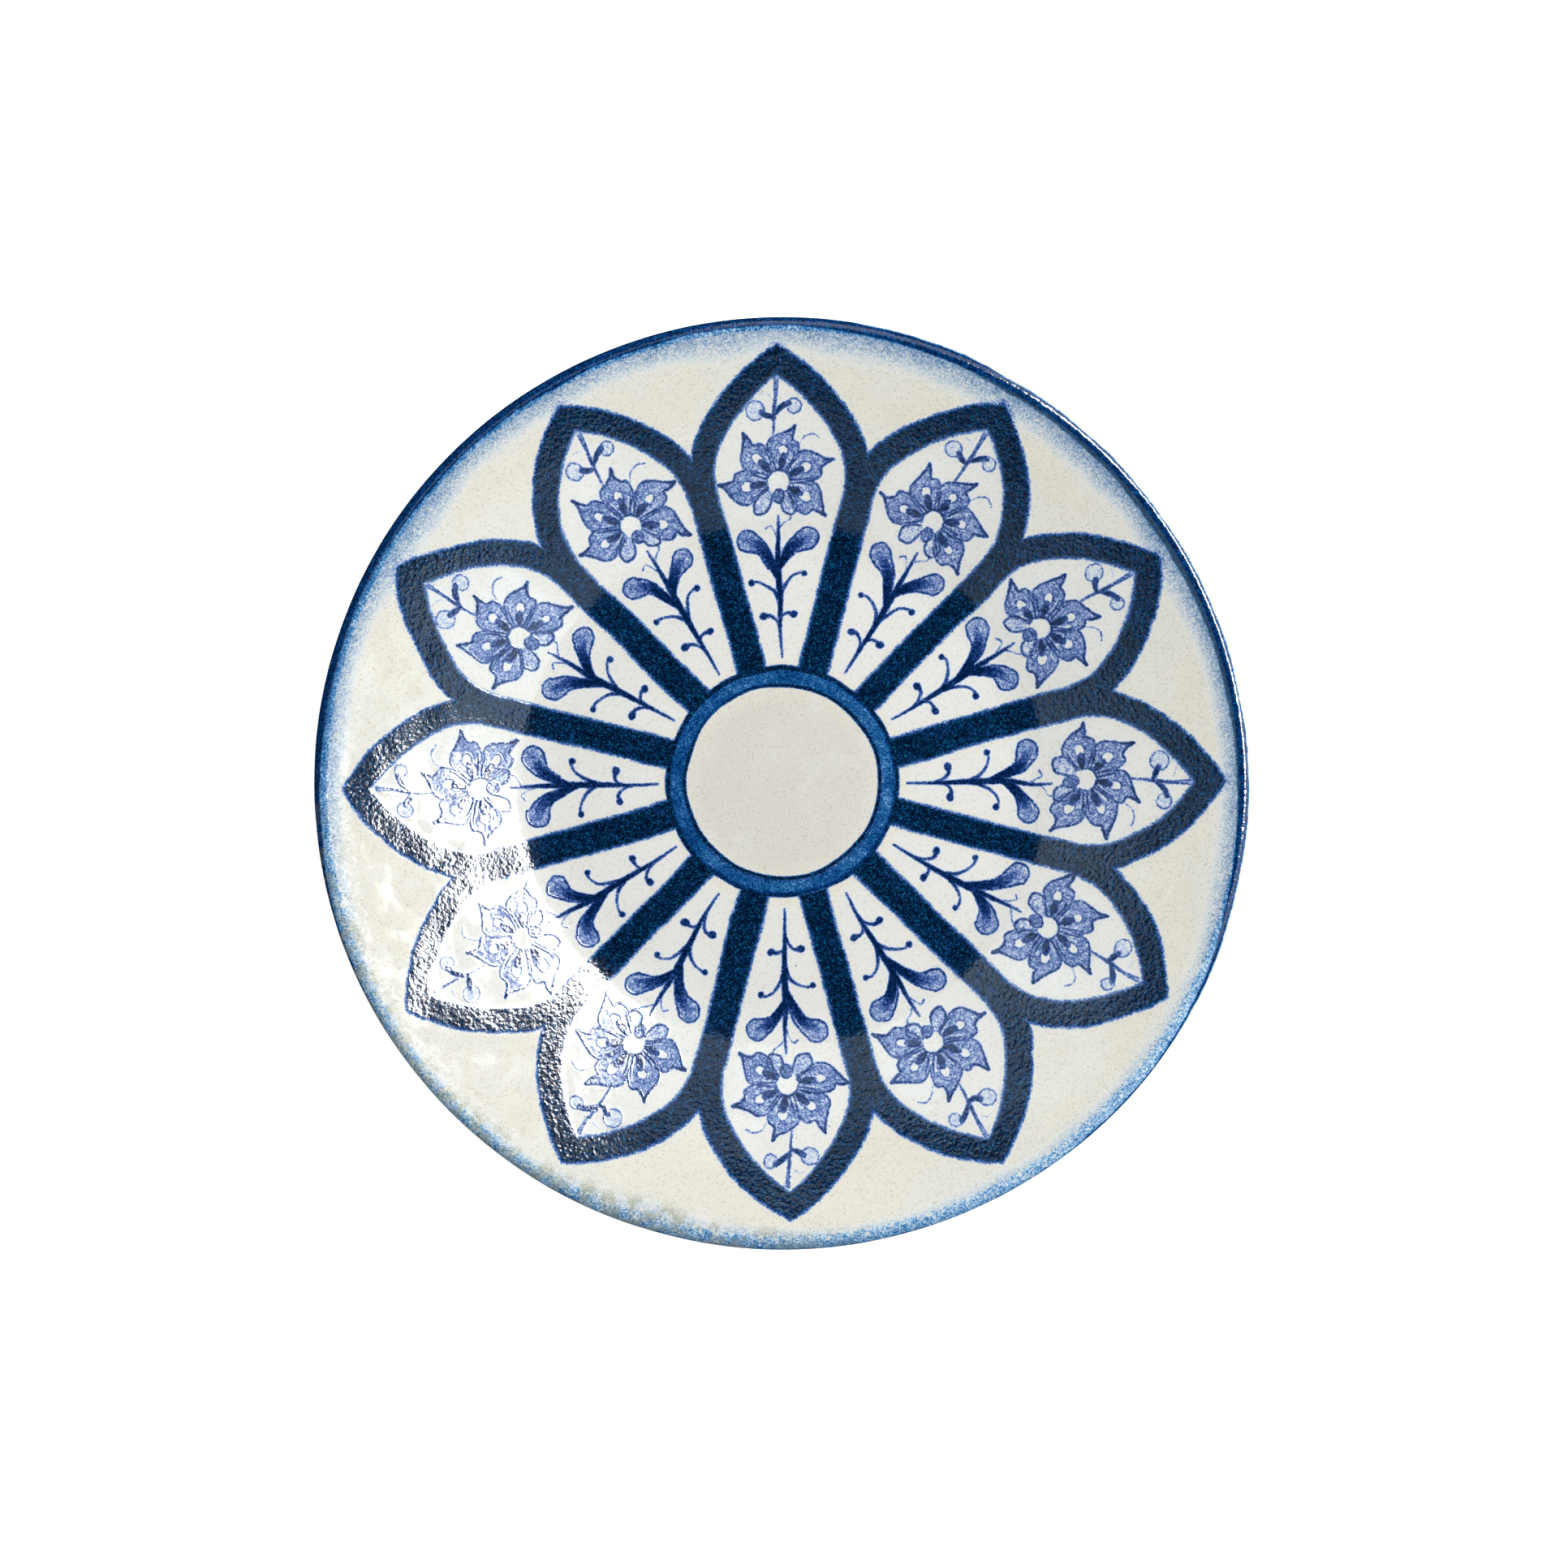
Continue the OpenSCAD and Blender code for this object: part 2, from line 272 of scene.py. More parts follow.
def whiteness(azimuth, s):
    """How white the glaze is: whiter inside the petals than outside them."""
    r = section(s, HALF_T)[0]
    local = petal_angle(azimuth)
    return ease(0.3 - field_gap(r * np.sin(local), r * np.cos(local)) / 4) * ease((r - RING_OUT) / 2)


def ring_ink(azimuth, r):
    """Ink of the centre ring: a pale band between two dark lines."""
    x, y = across(azimuth, r)
    r = np.hypot(x - RING_SHIFT[0], y - RING_SHIFT[1])
    inner = RING_LINE_IN - 0.1 + 0.35 * noise(x, y, 9, 21)
    outer = RING_OUT - 1.5 + 0.35 * noise(x, y, 8, 22)
    dark_in = ease(1.35 - np.abs(r - inner) / 0.65)
    dark_out = ease(1.45 - np.abs(r - outer) / 0.8)
    middle = (r > inner) & (r < outer)
    wash = (0.73 + 0.12 * noise(x, y, 5, 23) - 0.07 * x / RING_OUT) * middle
    return np.maximum(np.maximum(dark_in, dark_out), wash)


# The rim at every 30 degrees clockwise from the top, as far as it can be seen from above:
# width of the dark band, width of bare glaze outside it, and width and strength of the wash
LIP_DARK_W = (2.2, 3.0, 3.2, 2.6, 0.2, 0.0, 0.3, 0.2, 0.3, 1.9, 2.8, 3.2)
LIP_BARE_W = (0.5, 1.5, 2.0, 1.9, 0.6, 0.1, 0.0, 0.0, 0.0, 0.0, 0.0, 0.0)
WASH_W = (10.0, 9.0, 8.0, 8.0, 8.0, 9.0, 9.0, 9.0, 9.0, 9.0, 10.0, 10.0)
WASH_INK = (0.47, 0.48, 0.50, 0.46, 0.42, 0.42, 0.56, 0.44, 0.36, 0.56, 0.54, 0.50)


def rim_ink(azimuth, s):
    """Ink of the dark lip band and of the wash sprayed inside it."""
    r = section(s, HALF_T)[0]
    x, y = across(azimuth, r)
    edge = LIP_X + HALF_T - r
    edge = np.where(s > LIP_EDGE, -(s - LIP_EDGE), edge)
    edge = edge + 0.3 * noise(x, y, 12, 31) + 0.12 * noise(x, y, 2.2, 32)
    bare = around(azimuth, LIP_BARE_W)
    dark_to = bare + around(azimuth, LIP_DARK_W)
    starts = ease((edge - bare + 0.9) / 0.8)
    dark = starts * ease((dark_to - edge) / 0.9 + 0.5)
    reach = around(azimuth, WASH_W) * (1 + 0.25 * noise(x, y, 16, 33))
    fade = 1 - np.clip((edge - dark_to) / reach, 0, 1)
    wash = around(azimuth, WASH_INK) * fade ** 1.3 * ease((edge - bare + 0.4) / 0.8)
    return np.maximum(dark, wash)


def deep_ink(azimuth, s):
    """All that is drawn in deep cobalt on the face: ring, bars and bands, lip and wash."""
    r = section(s, HALF_T)[0]
    bands = band_ink(azimuth, r) * (r > RING_OUT - 1.2)
    return np.maximum(np.maximum(bands, rim_ink(azimuth, s)), ring_ink(azimuth, r))


# ---------------- the drawing: sprigs and blossoms


def curved(points, closed=False, steps=8):
    """A smooth line through the points."""
    p = np.array(points, float)
    if closed:
        p = np.vstack([p[-1:], p, p[:2]])
    else:
        p = np.vstack([2 * p[:1] - p[1:2], p, 2 * p[-1:] - p[-2:-1]])
    t = np.linspace(0, 1, steps, endpoint=False)[:, None]
    runs = []
    for a, b, c, d in zip(p, p[1:], p[2:], p[3:]):
        runs.append(0.5 * (2 * b + (c - a) * t + (2 * a - 5 * b + 4 * c - d) * t ** 2
                           + (3 * b - a - 3 * c + d) * t ** 3))
    runs.append(p[-2:-1])
    return np.vstack(runs)


class Canvas:
    """Ink on a flat grid over one petal. x is across the petal and y outwards from the plate's axis."""

    def __init__(self, low, high, step):
        self.x = np.arange(low[0], high[0] + step, step)
        self.y = np.arange(low[1], high[1] + step, step)
        self.ink = np.zeros((len(self.y), len(self.x)))

    def window(self, points, reach):
        """The part of the grid around the points, as an index and its coordinates."""
        low, high = points.min(0) - reach, points.max(0) + reach
        i = slice(*np.searchsorted(self.x, (low[0], high[0])))
        j = slice(*np.searchsorted(self.y, (low[1], high[1])))
        return (j, i), *np.meshgrid(self.x[i], self.y[j])

    def stroke(self, points, widths, inks, feather=0.32):
        """A brush stroke along the points, with widths and inks given at even shares of it."""
        path = curved(points)
        where, x, y = self.window(path, max(widths) / 2 + feather)
        gap, share = distance_to(path, x, y)
        width = np.interp(share, np.linspace(0, 1, len(widths)), widths)
        ink = np.interp(share, np.linspace(0, 1, len(inks)), inks)
        cover = ease((width / 2 + feather - gap) / (2 * feather))
        self.ink[where] = np.maximum(self.ink[where], ink * cover)

    def area(self, outline, ink, feather=0.35):
        """Fills an outline. An ink of 0 wipes the glaze clean there."""
        where, x, y = self.window(outline, feather)
        gap, _ = distance_to(outline, x, y)
        cover = ease(0.5 + np.where(inside(outline, x, y), gap, -gap) / (2 * feather))
        if ink:
            self.ink[where] = np.maximum(self.ink[where], ink * cover)
        else:
            self.ink[where] *= 1 - cover


def bled(ink, cells=4, share=0.6):
    """Ink with a soft halo, as cobalt bleeds into the glaze. cells is how far, in steps of the grid."""
    soft = ink
    for axis in (0, 1):
        weights = [(shift, 1 + cells - abs(shift)) for shift in range(-cells, cells + 1)]
        soft = sum(weight * np.roll(soft, shift, axis) for shift, weight in weights) / (cells + 1) ** 2
    return np.maximum(ink, share * soft)


def distance_to(path, x, y):
    """Distance to the nearest point of a path, and that point's share of its length."""
    steps = np.diff(path, axis=0)
    sizes = np.maximum(np.hypot(*steps.T), 1e-9)
    starts = np.concatenate([[0], np.cumsum(sizes)])
    gap, share = np.full(x.shape, np.inf), np.zeros(x.shape)
    for (ax, ay), (dx, dy), size, start in zip(path, steps, sizes, starts):
        t = np.clip(((x - ax) * dx + (y - ay) * dy) / size ** 2, 0, 1)
        d = np.hypot(x - ax - t * dx, y - ay - t * dy)
        nearer = d < gap
        gap = np.where(nearer, d, gap)
        share = np.where(nearer, (start + t * size) / starts[-1], share)
    return gap, share


def inside(outline, x, y):
    """Whether each point is inside a closed outline."""
    hit = np.zeros(x.shape, bool)
    for (ax, ay), (bx, by) in zip(outline, np.roll(outline, -1, 0)):
        crosses = (ay > y) != (by > y)
        if ay != by:
            hit ^= crosses & (x < (bx - ax) * (y - ay) / (by - ay) + ax)
    return hit


class Hand:
    """The painter's hand on one petal: moves every point of a motif a little, always the same way."""

    def __init__(self, petal):
        self.rng = np.random.default_rng(500 + petal)
        self.seed = 100 + 10 * petal

    def place(self, points, shake=0.10):
        p = np.array(points, float)
        x, y = p.T
        drift = np.stack([noise(x, y, 14, self.seed), noise(x, y, 14, self.seed + 1)], -1)
        return p + 0.55 * drift + shake * self.rng.standard_normal(p.shape)

    def about(self, value, spread=0.1):
        return value * (1 + spread * self.rng.uniform(-1, 1))


# Lower part of the sprig: points across and outwards from the axis in millimetres
STEM = ((0, 34), (0.1, 41), (0.1, 50), (-0.1, 60), (0, 67), (-0.2, 72.4))
SMALL_BUDS = (
    ((0.1, 43.6), (0.8, 45.0), (2.2, 45.6), (3.9, 45.3)),
    ((0, 40.5), (-0.7, 43), (-2.4, 44.8), (-4.2, 44.6)),
)
TENDRILS = (
    ((0.2, 50.5), (1.3, 53.2), (3.2, 56.2), (5.6, 57.3), (6.8, 56.9)),
    ((0, 50), (-1.4, 52.4), (-3.4, 54.0), (-6.0, 55.0), (-7.6, 54.7)),
)
LEAVES = (
    ((0.1, 58.5), (1.6, 61.6), (4.0, 64.4), (7.4, 66.4)),
    ((-0.3, 55.5), (-2.2, 60), (-4.8, 64), (-8.6, 66.2)),
)
LEAF_END_R = 2.9
HOOKS = (
    ((-0.2, 66.2), (-1.2, 68.4), (-2.4, 69.8), (-3.6, 69.0)),
    ((0.5, 69.6), (1.8, 70.8), (3.0, 71.6), (3.4, 72.8)),
)

# Upper part, between the blossom and the tip of the petal
TIP_STEM = ((-0.9, 92.5), (-0.8, 96), (-0.4, 100), (0, 104), (0.2, 108.6))
TIP_BUDS = (
    ((-0.5, 98.6), (-2.4, 99.2), (-3.9, 100.0)),
    ((-0.3, 99.4), (1.6, 101.4), (3.6, 102.4)),
)
TIP_BUD_CENTRES = ((-5.6, 100.4), (4.9, 101.6))
TIP_BUD_R = (2.3, 1.8)
TIP_MARK = ((-1.6, 104.0), (-2.9, 104.7), (-3.9, 104.6))

BLOSSOM_C = (-0.3, 80.9)
POINTED = 5
POINTED_FROM = math.radians(-102)
POINTED_STEP = math.radians(54)
POINTED_LEN = 15.4
ROUND_LOBES = ((151, 8.6), (217, 9.4))
CURL = ((5.6, 90.9), (7.2, 93.1), (9.4, 93.9), (11.5, 92.8))


def circle(centre, radius, squash=1.0, turn=0.0, count=20):
    """A round or oval outline; turn is the clockwise direction of its long side."""
    a = np.linspace(0, 2 * math.pi, count, endpoint=False)
    u, v = radius * squash * np.cos(a), radius * np.sin(a)
    x = centre[0] + u * math.cos(turn) + v * math.sin(turn)
    y = centre[1] - u * math.sin(turn) + v * math.cos(turn)
    return np.stack([x, y], -1)


def turned(points, turn):
    """Points given as (across, along) a petal of the blossom, in the petal of the plate."""
    across, along = np.array(points, float).T
    return np.stack([BLOSSOM_C[0] + along * math.sin(turn) + across * math.cos(turn),
                     BLOSSOM_C[1] + along * math.cos(turn) - across * math.sin(turn)], -1)


def ringed(canvas, hand, outline, width, ink, fill):
    """An outline drawn with a fine brush, and the wash inside it."""
    line = hand.place(outline, 0.05)
    canvas.area(line, fill)
    canvas.stroke(np.vstack([line, line[:1]]), (width,), (ink, ink * 0.8, ink))


def draw_leaf(canvas, hand, points):
    """A paisley leaf: dark where it leaves the stem, pale with a fine outline at its round end."""
    path = hand.place(points)
    canvas.stroke(path, (0.6, 1.9, 3.4, 2 * LEAF_END_R), (0.6, 0.58, 0.5, 0.42))
    canvas.stroke(path, (1.3, 2.5, 3.0, 2.6), (1.05, 1.05, 0.85, 0.5))
    canvas.stroke(path[1:], (1.9, 1.8, 1.8), (1.05, 0.9, 0.55))
    spine = curved(path)
    way = np.gradient(spine, axis=0)
    way /= np.linalg.norm(way, axis=1)[:, None]
    side = np.stack([way[:, 1], -way[:, 0]], -1)
    half = np.interp(np.linspace(0, 1, len(spine)), (0, 0.33, 0.66, 1), (0.3, 0.85, 1.6, LEAF_END_R))
    right = spine + side * half[:, None]
    left = spine - side * half[:, None]
    a = np.linspace(0, math.pi, 8)[1:-1, None]
    cap = spine[-1] + LEAF_END_R * (side[-1] * np.cos(a) + way[-1] * np.sin(a))
    edge = np.vstack([right[6:], cap, left[6:][::-1]])[::2]
    canvas.stroke(hand.place(edge, 0.06), (0.7,), (0.8, 0.85, 0.75, 0.85, 0.8))


def draw_sprig(canvas, hand):
    canvas.stroke(hand.place(STEM), (0.7, 1.0, 1.5, 1.8, 1.2, 0.7), (0.7, 0.95, 1.05, 1.05, 0.95, 0.7))
    for points in SMALL_BUDS:
        path = hand.place(points)
        canvas.stroke(path, (0.8, 0.8, 1.3), (0.85, 0.8, 0.9))
        canvas.area(circle(path[-1], hand.about(1.15), 0.85, 1.2), 0.92)
    for points in TENDRILS:
        path = hand.place(points)
        canvas.stroke(path, (1.3, 1.0, 0.75, 0.75), (1.0, 0.8, 0.7, 0.8))
        canvas.area(circle(path[-1], hand.about(0.85)), 0.95)
    for points in LEAVES:
        draw_leaf(canvas, hand, points)
    for points in HOOKS:
        canvas.stroke(hand.place(points), (0.6, 0.45, 0.6), (0.6, 0.5, 0.65))
    draw_tip(canvas, hand)


def draw_tip(canvas, hand):
    """The stem above the blossom, with its two buds, up to where it splits under the tip."""
    path = hand.place(TIP_STEM)
    canvas.stroke(path, (0.7, 0.8, 1.1, 1.0, 0.8), (0.6, 0.7, 0.8, 0.65, 0.45))
    for side in (-0.55, 0.55):
        canvas.stroke(path[-2:] + ((side * 0.5, 0), (side, 0)), (0.45,), (0.75, 0.7))
    for points, centre, radius in zip(TIP_BUDS, TIP_BUD_CENTRES, TIP_BUD_R):
        ringed(canvas, hand, circle(centre, hand.about(radius)), 0.5, 0.72, 0.2)
        canvas.stroke(hand.place(points), (0.8, 1.5, 1.7), (0.8, 0.95, 0.75))
    canvas.stroke(hand.place(TIP_MARK), (0.4,), (0.35, 0.3))


def draw_pointed(canvas, hand, turn):
    """The pale wash of one pointed petal of a blossom, with its curled tip."""
    size = hand.about(POINTED_LEN, 0.04)
    curl = math.radians(hand.about(8, 0.4)) * size
    rim = ((-1.7, 0.18), (-3.2, 0.38), (-4.2, 0.58), (-3.4, 0.72), (-1.4, 0.82), (0.5 * curl, 0.93),
           (curl, 1.02), (0.9 * curl, 0.88), (2.2, 0.77), (4.0, 0.70), (4.0, 0.50), (3.0, 0.36), (1.7, 0.18))
    rim = hand.place(turned([(u, v * size) for u, v in rim], turn), 0.12)
    canvas.area(curved(rim, closed=True, steps=5), 0.46)
    return rim, size


def draw_petal_lines(canvas, hand, turn, rim, size):
    """The outline, veins, streaks, eye and smudge of a pointed petal, over the washes."""
    canvas.stroke(rim[1:7], (0.6, 0.7, 0.9), (0.7, 0.8, 0.95))
    canvas.stroke(rim[6:12], (0.9, 0.7, 0.6), (0.95, 0.8, 0.7))
    for side in (-1, 1):
        streak = turned([(side * 1.3, 3.4), (side * 2.2, 5.4), (side * 2.5, 7.2)], turn)
        canvas.area(curved([streak[0], streak[2], streak[1] + (0.3 * side, 0)], closed=True), 0)
        vein = turned([(side * 1.0, 3.0), (side * 2.6, 6.0), (side * 3.4, 8.6)], turn)
        canvas.stroke(hand.place(vein), (0.6, 0.8, 0.6), (0.85, 0.85, 0.6))
    eye = turned([(0.1, 0.54 * size)], turn)[0]
    ringed(canvas, hand, circle(eye, hand.about(1.75), 0.78, turn), 0.55, 0.78, 0)
    smudge = turned([(0, 3.4), (0, 4.8), (0.1, 0.44 * size)], turn)
    canvas.stroke(hand.place(smudge), (1.1, 2.3, 1.9), (0.95, 1.0, 0.8))


def draw_blossom(canvas, hand):
    turns = [POINTED_FROM + POINTED_STEP * i + math.radians(hand.about(3, 1)) for i in range(POINTED)]
    petals = [draw_pointed(canvas, hand, turn) for turn in turns]
    for degrees, reach in ROUND_LOBES:
        turn = math.radians(degrees)
        lobe = ((-0.7, 0.35), (-1.7, 0.6), (-2.0, 0.85), (0, 1.05), (2.0, 0.85), (1.7, 0.6), (0.7, 0.35))
        lobe = hand.place(turned([(u, v * reach) for u, v in lobe], turn), 0.08)
        canvas.area(curved(lobe, closed=True, steps=5), 0.3)
        canvas.stroke(lobe, (0.7,), (0.7, 0.85, 0.85, 0.7))
    for turn, (rim, size) in zip(turns, petals):
        draw_petal_lines(canvas, hand, turn, rim, size)
    middle = circle(BLOSSOM_C, 2.85, count=16)
    canvas.area(hand.place(middle, 0.05), 0)
    arc = [(BLOSSOM_C[0] + 3.05 * math.sin(a), BLOSSOM_C[1] + 3.05 * math.cos(a))
           for a in np.linspace(-2.1, 2.1, 12)]
    canvas.stroke(hand.place(arc, 0.06), (0.7,), (0.6, 0.85, 0.9, 0.85, 0.6))
    pistil = (BLOSSOM_C[0] + 0.2, BLOSSOM_C[1] - 3.6)
    ringed(canvas, hand, circle(pistil, hand.about(1.75), 0.85), 0.6, 0.9, 0.6)
    canvas.stroke(hand.place(CURL), (0.4, 0.5, 0.5), (0.35, 0.55, 0.6))


# ---------------- meshes


def linked(name, data):
    """A new object of the scene with this data."""
    ob = bpy.data.objects.new(name, data)
    bpy.context.scene.collection.objects.link(ob)
    return ob


def new_mesh(name, points, quads, smooth, uv=None, values=()):
    """A mesh object from numpy arrays, with a named value at each point for each of the values.
    Quads that repeat their last corner are triangles."""
    tri = quads[:, 2] == quads[:, 3]
    counts = np.where(tri, 3, 4)
    corners = np.stack([np.ones(len(quads), bool)] * 3 + [~tri], -1)
    loops = quads[corners]
    me = bpy.data.meshes.new(name)
    me.vertices.add(len(points))
    me.vertices.foreach_set("co", points.astype(np.float32).ravel())
    me.loops.add(len(loops))
    me.loops.foreach_set("vertex_index", loops.astype(np.int32))
    me.polygons.add(len(quads))
    me.polygons.foreach_set("loop_start", np.concatenate([[0], np.cumsum(counts)[:-1]]).astype(np.int32))
    me.update(calc_edges=True)
    me.polygons.foreach_set("use_smooth", smooth)
    edge_of_loop = np.empty(len(loops), np.int32)
    me.loops.foreach_get("edge_index", edge_of_loop)
    sharp = np.zeros(len(me.edges), bool)
    sharp[edge_of_loop[np.repeat(~smooth, counts)]] = True
    me.edges.foreach_set("use_edge_sharp", sharp)
    for key, value in values:
        me.attributes.new(key, "FLOAT", "POINT").data.foreach_set("value", value.astype(np.float32))
    if uv is not None:
        me.uv_layers.new(name="OFBake").data.foreach_set("uv", uv[corners].astype(np.float32).ravel())
    me.validate()
    return linked(name, me)


def unrolled(azimuth, radius):
    """Places on a flat map of the plate, moved and scaled to fill the square from 0 to 1."""
    flat = np.stack(across(azimuth, radius), -1).reshape(-1, 2)
    low, high = flat.min(0), flat.max(0)
    return 0.005 + 0.99 * (flat - low) / (high - low).max()


def bake_map(flat, quads, upper, under, raised):
    """Where each corner of each face is baked: the skin that is seen fills nearly the whole map, and
    the faces under it and round its edge have a small corner of it."""
    uv = 0.06 * flat[quads]
    uv[:upper] = 0.07 + 0.93 * flat[quads[:upper]]
    uv[upper + under:] += 0.004 * raised[quads[upper + under:], None]
    return uv


def shell(name, top, bottom, flat, keep=None, wrap=False, values=()):
    """A closed skin between two grids of points. keep says which cells of the grid there are."""
    rows, columns = top.shape[:2]
    if keep is None:
        keep = np.ones((rows - 1, columns - (not wrap)), bool)
    j, i = np.nonzero(keep)
    i2 = (i + 1) % columns
    corners = np.stack([j * columns + i, j * columns + i2, (j + 1) * columns + i2, (j + 1) * columns + i], -1)
    used = np.zeros(rows * columns, bool)
    used[corners.ravel()] = True
    number = np.cumsum(used) - 1
    count = used.sum()
    upper = number[corners]
    walls = []
    padded = np.zeros((keep.shape[0] + 2, keep.shape[1] + 2), bool)
    padded[1:-1, 1:-1] = keep
    if wrap:
        padded[1:-1, 0], padded[1:-1, -1] = keep[:, -1], keep[:, 0]
    for edge, (dj, di) in enumerate(((-1, 0), (0, 1), (1, 0), (0, -1))):
        bare = ~padded[j + 1 + dj, i + 1 + di]
        a, b = upper[bare, edge], upper[bare, (edge + 1) % 4]
        walls.append(np.stack([b, a, a + count, b + count], -1))
    walls = np.vstack(walls)
    quads = np.vstack([upper, upper[:, ::-1] + count, walls])
    points = np.vstack([top.reshape(-1, 3)[used], bottom.reshape(-1, 3)[used]])
    values = [(key, np.tile(value.ravel()[used], 2)) for key, value in values]
    raised = np.repeat((1.0, 0.0), count)
    uv = bake_map(np.tile(flat[used], (2, 1)), quads, len(upper), len(upper), raised)
    smooth = np.arange(len(quads)) < len(upper)
    return new_mesh(name, points, quads, smooth, uv, values)


def solid_cells(ink, least=0.02, wrap=False):
    """The cells of a grid that hold ink, without pairs that only touch at a corner."""
    if wrap:
        ink = np.hstack([ink, ink[:, :1]])
    corners = np.stack([ink[:-1, :-1], ink[1:, :-1], ink[:-1, 1:], ink[1:, 1:]])
    keep = corners.max(0) > least
    for _ in range(4):
        a, b, c, d = keep[:-1, :-1], keep[:-1, 1:], keep[1:, :-1], keep[1:, 1:]
        cross = (a & d & ~b & ~c) | (b & c & ~a & ~d)
        if not cross.any():
            break
        for part in (a, b, c, d):
            part |= cross
    return keep


# Points around the plate in the ring paints and in the finer paint of the lip
RING_POINTS = 720
LIP_POINTS = 1440
BAND_POINTS = 134
BAND_ROW = 0.45

PAINT_LEAST = 0.02
PAINT_FULL = PAINT_T / 6
PAINT_SINK = -0.03


def lift(ink):
    """How far paint stands out of the glaze, in millimetres."""
    return PAINT_LEAST + PAINT_FULL * ease(ink)


def painted(name, azimuth, s, ink, wrap=False, keep=None, extra=0.0):
    """A piece of paint on the plate, over a grid of azimuths and distances along the section."""
    keep = solid_cells(ink, wrap=wrap) if keep is None else keep
    top = on_plate(azimuth, s, lift(ink) + extra)
    bottom = on_plate(azimuth, s, np.full(ink.shape, PAINT_SINK))
    values = (("ink", ink), ("white", whiteness(azimuth, s)))
    return shell("visual_" + name, top, bottom, unrolled(azimuth, s), keep, wrap, values)


def petal_axis(k):
    """Clockwise azimuth, in radians, of the painted petal k, counted from 0 at the top."""
    return math.radians(k * STEP + PETAL_TURNS[k])


def petal_paint(name, k, draw, low, high, step):
    """A motif drawn on a canvas and laid on the plate along the axis of petal k."""
    canvas = Canvas(low, high, step)
    draw(canvas, Hand(k))
    x, y = np.meshgrid(canvas.x, canvas.y)
    azimuth = petal_axis(k) + np.arctan2(x, y)
    return painted(name, azimuth, length_at(np.hypot(x, y)), bled(canvas.ink))


def outline_paint(k):
    """The band around petal k with half of each bar beside it, cut exactly along the bars' middles."""
    turns = np.radians([PETAL_TURNS[k - 1], PETAL_TURNS[k], PETAL_TURNS[(k + 1) % PETALS]])
    middle = math.radians(k * STEP)
    from_az = middle - HALF_STEP + (turns[0] + turns[1]) / 2
    to_az = middle + HALF_STEP + (turns[1] + turns[2]) / 2
    azimuth = np.linspace(from_az, to_az, BAND_POINTS)
    s = length_at(np.arange(RING_OUT, TIP_R + 2.4, BAND_ROW))
    azimuth, s = np.meshgrid(azimuth, s)
    r = section(s, HALF_T)[0]
    keep = solid_cells(band_ink(azimuth, r))
    return painted(f"petal_outline_{k + 1:02d}", azimuth, s, deep_ink(azimuth, s), keep=keep)


def ring_grid(from_s, to_s, steps, count):
    """A grid of azimuths all round the plate and of distances along the section."""
    azimuth = np.linspace(0, 2 * math.pi, count, endpoint=False)
    return np.meshgrid(azimuth, np.linspace(from_s, to_s, steps))


def ring_paint(name, from_s, to_s, steps, count=RING_POINTS, extra=0.0):
    """A round piece of deep cobalt between two distances along the section."""
    azimuth, s = ring_grid(from_s, to_s, steps, count)
    return painted(name, azimuth, s, deep_ink(azimuth, s), wrap=True, extra=extra)


def disc_rings(last_s, spacing, count_at_edge):
    """Distances and point counts of rings that fill a disc evenly: the count halves inwards."""
    s = np.linspace(spacing, last_s, max(2, int(round(last_s / spacing))))
    halvings = np.floor(np.log2(last_s / np.minimum(s, last_s)) + 1e-6)
    halvings = np.minimum(halvings, int(math.log2(count_at_edge / 12)))
    return s, (count_at_edge / 2 ** halvings).astype(int)


def disc(last_s, spacing, count):
    """Azimuths, distances and faces of a disc of rings around one point in the middle."""
    distances, counts = disc_rings(last_s, spacing, count)
    azimuths, s, faces, start = [np.zeros(1)], [np.zeros(1)], [], 1
    before = 0
    for at, n in zip(distances, counts):
        i = np.arange(n)
        azimuths.append(i * 2 * math.pi / n)
        s.append(np.full(n, at))
        this, after = start + i, start + (i + 1) % n
        if not before:
            faces.append(np.stack([0 * i, after, this, this], -1))
        elif before == n:
            faces.append(np.stack([this - n, after - n, after, this], -1))
        else:
            j = np.arange(before)
            inner, inner_after = start - before + j, start - before + (j + 1) % before
            a, b, c = start + 2 * j, start + 2 * j + 1, start + (2 * j + 2) % n
            faces.append(np.stack([b, a, inner, inner], -1))
            faces.append(np.stack([c, b, inner_after, inner_after], -1))
            faces.append(np.stack([inner, inner_after, b, b], -1))
        start += n
        before = n
    return np.concatenate(azimuths), np.concatenate(s), np.vstack(faces)


def lens(name, last_s, spacing, count, upper, lower, lower_spacing, white=False):
    """A closed piece between two discs that end in rings with the same number of points."""
    top_az, top_s, top_faces = disc(last_s, spacing, count)
    low_az, low_s, low_faces = disc(last_s, lower_spacing, count)
    i = np.arange(count)
    a, b = len(top_s) - count + i, len(top_s) - count + (i + 1) % count
    c, d = b + len(low_s), a + len(low_s)
    under = low_faces[:, ::-1] + len(top_s)
    triangles = low_faces[:, 2] == low_faces[:, 3]
    under[triangles] = low_faces[triangles][:, [2, 1, 0, 0]] + len(top_s)
    points = np.vstack([upper(top_az, top_s), lower(low_az, low_s)])
    quads = np.vstack([top_faces, under, np.stack([b, c, d, a], -1)])
    flat = unrolled(np.concatenate([top_az, low_az]), np.concatenate([top_s, low_s]))
    raised = np.repeat((1.0, 0.0), (len(top_s), len(low_s)))
    uv = bake_map(flat, quads, len(top_faces), len(under), raised)
    smooth = np.arange(len(quads)) < len(top_faces) + len(under)
    values = ()
    if white:
        values = [("white", np.concatenate([whiteness(top_az, top_s), np.zeros(len(low_s))]))]
    return new_mesh(name, points, quads, smooth, uv, values)


